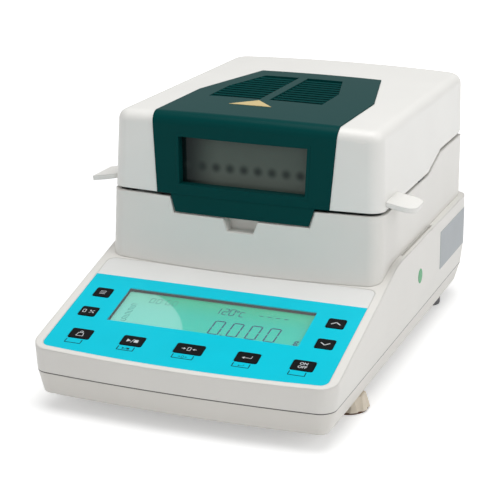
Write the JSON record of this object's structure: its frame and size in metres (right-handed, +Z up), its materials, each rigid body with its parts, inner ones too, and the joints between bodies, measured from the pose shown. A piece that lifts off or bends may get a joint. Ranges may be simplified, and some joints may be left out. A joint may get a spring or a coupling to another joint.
{
  "type": "moisture analyzer",
  "caption": "Bench moisture analyzer: wedge-fronted case with sloped keypad and display, heated weighing chamber under a hinged lid with a viewing window and louvres.",
  "frame": {"origin": "on the bench under the middle of the bounding box", "axes": "+X to the operator's right, +Y to the rear, +Z up"},
  "size_m": [0.2418, 0.371, 0.1873],
  "materials": {
    "case_plastic": "fine moulded texture",
    "lid_plastic": "fine moulded texture",
    "insert_plastic": "satin moulded",
    "panel_film": "printed polyester film",
    "key_film": "embossed film",
    "clear_glass": "clear",
    "display": "display glass",
    "black_plastic": "moulded",
    "board": "solder mask",
    "steel": "satin sheet",
    "aluminium": "plain",
    "lamp_glass": "quartz",
    "ceramic": "unglazed ceramic",
    "rubber": "moulded",
    "knob_plastic": "moulded",
    "label": "bare film",
    "green_film": "film",
    "amber_film": "film"
  },
  "bodies": {
    "case": {"board_posts": "case_plastic", "case_screws": "steel", "cell_base": "aluminium", "chamber_tray": "steel", "data_socket": "black_plastic", "display_bezel": "black_plastic", "display_frame": "steel", "display_glass": "display", "display_lens": "clear_glass", "heating_tower": "case_plastic", "hinge_rod": "steel", "keypad_board": "board", "keypad_overlay": "panel_film", "lid_buffers": "rubber", "load_cell": "aluminium", "lower_case": "case_plastic", "main_board": "board", "mains_inlet": "black_plastic", "pan_support": "steel", "power_board": "board", "push_switches": "black_plastic", "rear_feet": "rubber", "round_sticker": "green_film", "side_label": "label", "stem_socket": "aluminium", "switch_housing": "black_plastic", "transformer": "steel", "upper_case": "case_plastic"},
    "lid": {"lid_shell": "lid_plastic", "lift_tab_left": "lid_plastic", "lift_tab_right": "lid_plastic", "lid_insert": "insert_plastic", "viewing_window": "clear_glass", "window_frame": "steel", "caution_triangle": "amber_film", "reflector": "steel", "lid_tray": "steel", "ring_lamp": "lamp_glass", "lamp_sockets": "ceramic", "lamp_guard": "steel", "heat_probe": "steel"},
    "pan_handler": {"pan_handler": "aluminium"},
    "sample_pan": {"sample_pan": "aluminium"},
    "draft_ring": {"draft_ring": "aluminium"},
    "power_rocker": {"power_rocker": "black_plastic"},
    "key_menu": {"key_menu": "key_film"},
    "key_zero": {"key_zero": "key_film"},
    "key_calibrate": {"key_calibrate": "key_film"},
    "key_start_stop": {"key_start_stop": "key_film"},
    "key_tare": {"key_tare": "key_film"},
    "key_enter": {"key_enter": "key_film"},
    "key_on_off": {"key_on_off": "key_film"},
    "key_up": {"key_up": "key_film"},
    "key_down": {"key_down": "key_film"},
    "foot_left": {"foot_pad_left": "rubber"},
    "knob_left": {"foot_knob_left": "knob_plastic"},
    "foot_right": {"foot_pad_right": "rubber"},
    "knob_right": {"foot_knob_right": "knob_plastic"}
  },
  "joints": [
    {"name": "lid_hinge", "type": "hinge", "parent": "case", "child": "lid", "pos_m": [0, 0.18, 0.139], "axis": [-1, 0, 0], "range_deg": [0, 85]},
    {"name": "key_menu_press", "type": "slide", "parent": "case", "child": "key_menu", "axis": [0, 0.2605, -0.9655], "range_m": [0, 0.0004], "stiffness_N_per_m": 600},
    {"name": "key_zero_press", "type": "slide", "parent": "case", "child": "key_zero", "axis": [0, 0.2605, -0.9655], "range_m": [0, 0.0004], "stiffness_N_per_m": 600},
    {"name": "key_calibrate_press", "type": "slide", "parent": "case", "child": "key_calibrate", "axis": [0, 0.2605, -0.9655], "range_m": [0, 0.0004], "stiffness_N_per_m": 600},
    {"name": "key_start_stop_press", "type": "slide", "parent": "case", "child": "key_start_stop", "axis": [0, 0.2605, -0.9655], "range_m": [0, 0.0004], "stiffness_N_per_m": 600},
    {"name": "key_tare_press", "type": "slide", "parent": "case", "child": "key_tare", "axis": [0, 0.2605, -0.9655], "range_m": [0, 0.0004], "stiffness_N_per_m": 600},
    {"name": "key_enter_press", "type": "slide", "parent": "case", "child": "key_enter", "axis": [0, 0.2605, -0.9655], "range_m": [0, 0.0004], "stiffness_N_per_m": 600},
    {"name": "key_on_off_press", "type": "slide", "parent": "case", "child": "key_on_off", "axis": [0, 0.2605, -0.9655], "range_m": [0, 0.0004], "stiffness_N_per_m": 600},
    {"name": "key_up_press", "type": "slide", "parent": "case", "child": "key_up", "axis": [0, 0.2605, -0.9655], "range_m": [0, 0.0004], "stiffness_N_per_m": 600},
    {"name": "key_down_press", "type": "slide", "parent": "case", "child": "key_down", "axis": [0, 0.2605, -0.9655], "range_m": [0, 0.0004], "stiffness_N_per_m": 600},
    {"name": "power_rocker_tilt", "type": "hinge", "parent": "case", "child": "power_rocker", "pos_m": [0.022, 0.179, 0.055], "axis": [1, 0, 0], "range_deg": [0, 16]},
    {"name": "draft_ring_lift", "type": "slide", "parent": "case", "child": "draft_ring", "axis": [0, 0, 1], "range_m": [0, 0.022]},
    {"name": "pan_handler_lift", "type": "slide", "parent": "draft_ring", "child": "pan_handler", "axis": [0, 0, 1], "range_m": [0, 0.022]},
    {"name": "sample_pan_lift", "type": "slide", "parent": "pan_handler", "child": "sample_pan", "axis": [0, 0, 1], "range_m": [0, 0.022]},
    {"name": "foot_left_height", "type": "slide", "parent": "case", "child": "foot_left", "axis": [0, 0, 1], "range_m": [-0.004, 0]},
    {"name": "foot_left_turn", "type": "hinge", "parent": "foot_left", "child": "knob_left", "pos_m": [-0.09, -0.097, 0.005], "axis": [0, 0, 1], "range_deg": [-1153, 0]},
    {"name": "foot_right_height", "type": "slide", "parent": "case", "child": "foot_right", "axis": [0, 0, 1], "range_m": [-0.004, 0]},
    {"name": "foot_right_turn", "type": "hinge", "parent": "foot_right", "child": "knob_right", "pos_m": [0.09, -0.097, 0.005], "axis": [0, 0, 1], "range_deg": [-1153, 0]}
  ],
  "couplings": [
    {"joint": "foot_left_turn", "follows": "foot_left_height", "rad_per_m": 5026.5},
    {"joint": "foot_right_turn", "follows": "foot_right_height", "rad_per_m": 5026.5}
  ]
}
